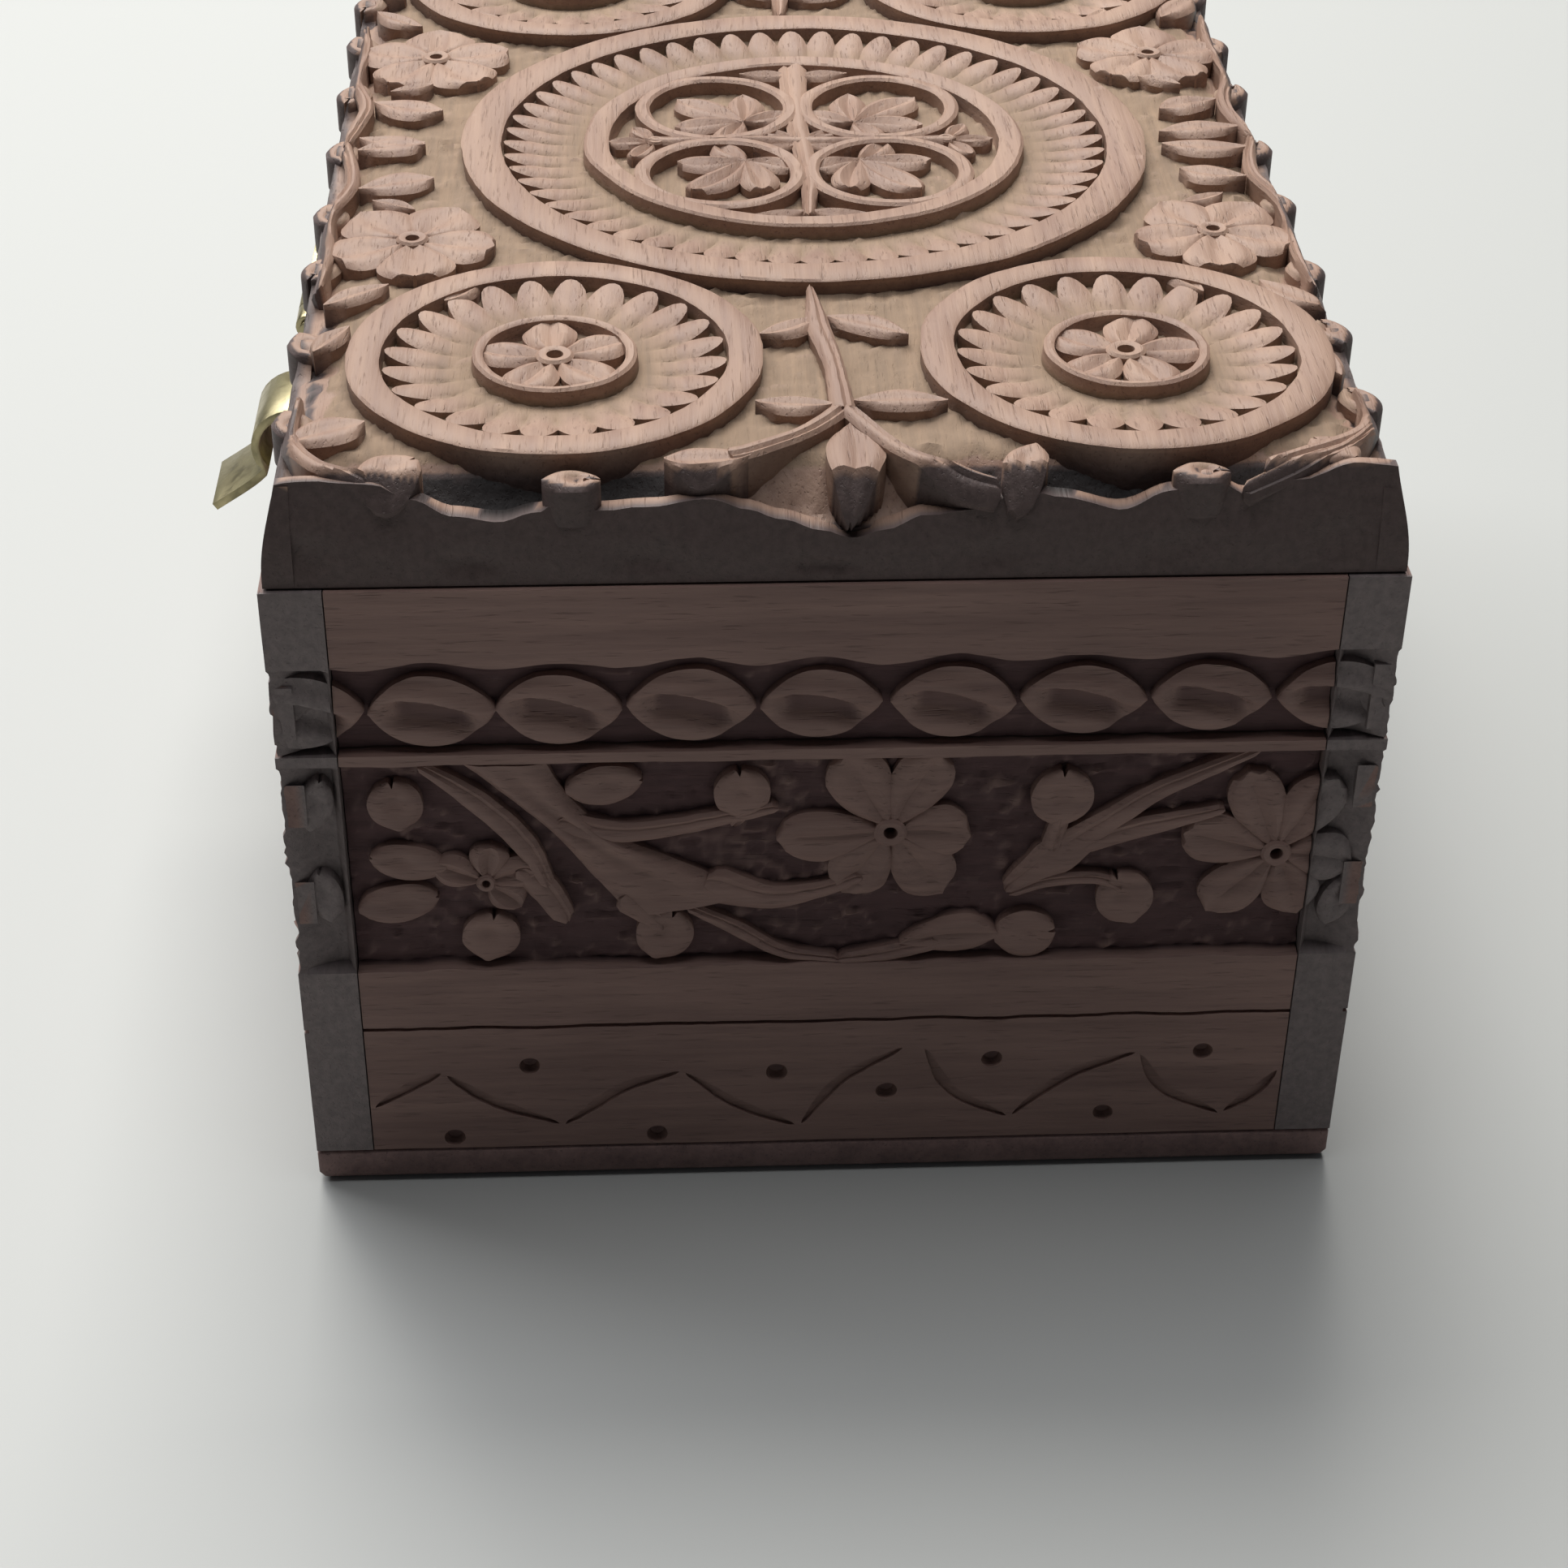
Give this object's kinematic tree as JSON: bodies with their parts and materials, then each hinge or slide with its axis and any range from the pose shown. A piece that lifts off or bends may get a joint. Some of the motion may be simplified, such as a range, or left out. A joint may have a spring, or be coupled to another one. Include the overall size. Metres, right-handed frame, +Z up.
{
  "type": "jewelry box",
  "caption": "Rectangular hinged wooden jewelry box with a deep lid, brass butt hinges at the back, and a brass hasp with a swinging flap at the front.",
  "frame": {"origin": "middle of the underside of the base board, on the surface that the box stands on", "axes": "+X along the length, towards the right end; the front, with the hasp, faces -Y; the hinges are on the +Y side; +Z up"},
  "size_m": [0.182, 0.1494, 0.1],
  "materials": {
    "wood": "hand-carved hardwood, oiled, satin",
    "base_wood": "the same hardwood, darker, satin",
    "velvet": "short-pile velvet on thin board",
    "brass": "aged brass, dull, stamped from sheet",
    "steel": "plain steel brads, darkened"
  },
  "bodies": {
    "tray": {"base_board": "base_wood", "front_wall": "wood", "back_wall": "wood", "left_end_wall": "wood", "right_end_wall": "wood", "floor_lining": "velvet", "front_lining": "velvet", "back_lining": "velvet", "left_end_lining": "velvet", "right_end_lining": "velvet", "brad_front_left_1": "steel", "brad_front_left_2": "steel", "brad_front_right_1": "steel", "brad_front_right_2": "steel", "brad_back_left_1": "steel", "brad_back_left_2": "steel", "brad_back_right_1": "steel", "brad_back_right_2": "steel", "hinge_left_tray_leaf": "brass", "hinge_left_tray_screw_left": "brass", "hinge_left_tray_screw_right": "brass", "hinge_left_pin": "brass", "hinge_right_tray_leaf": "brass", "hinge_right_tray_screw_left": "brass", "hinge_right_tray_screw_right": "brass", "hinge_right_pin": "brass", "catch_plate": "brass", "catch_plate_pin_left": "brass", "catch_plate_pin_right": "brass"},
    "lid": {"lid_top_board": "wood", "lid_front_rail": "wood", "lid_back_rail": "wood", "lid_left_end_rail": "wood", "lid_right_end_rail": "wood", "lid_lining": "velvet", "lid_brad_front_left_1": "steel", "lid_brad_front_right_1": "steel", "lid_brad_back_left_1": "steel", "lid_brad_back_right_1": "steel", "hinge_left_lid_leaf": "brass", "hinge_left_lid_screw_left": "brass", "hinge_left_lid_screw_right": "brass", "hinge_right_lid_leaf": "brass", "hinge_right_lid_screw_left": "brass", "hinge_right_lid_screw_right": "brass", "hasp_plate": "brass", "hasp_pin": "brass", "hasp_plate_pin_left": "brass", "hasp_plate_pin_right": "brass"},
    "hasp": {"hasp_flap": "brass"}
  },
  "joints": [
    {"name": "lid_hinge", "type": "hinge", "parent": "tray", "child": "lid", "pos_m": [0, 0.0659, 0.06485], "axis": [-1, 0, 0], "range_deg": [0, 105]},
    {"name": "hasp_swing", "type": "hinge", "parent": "lid", "child": "hasp", "pos_m": [0, -0.0657, 0.077], "axis": [-1, 0, 0], "range_deg": [0, 150]}
  ]
}
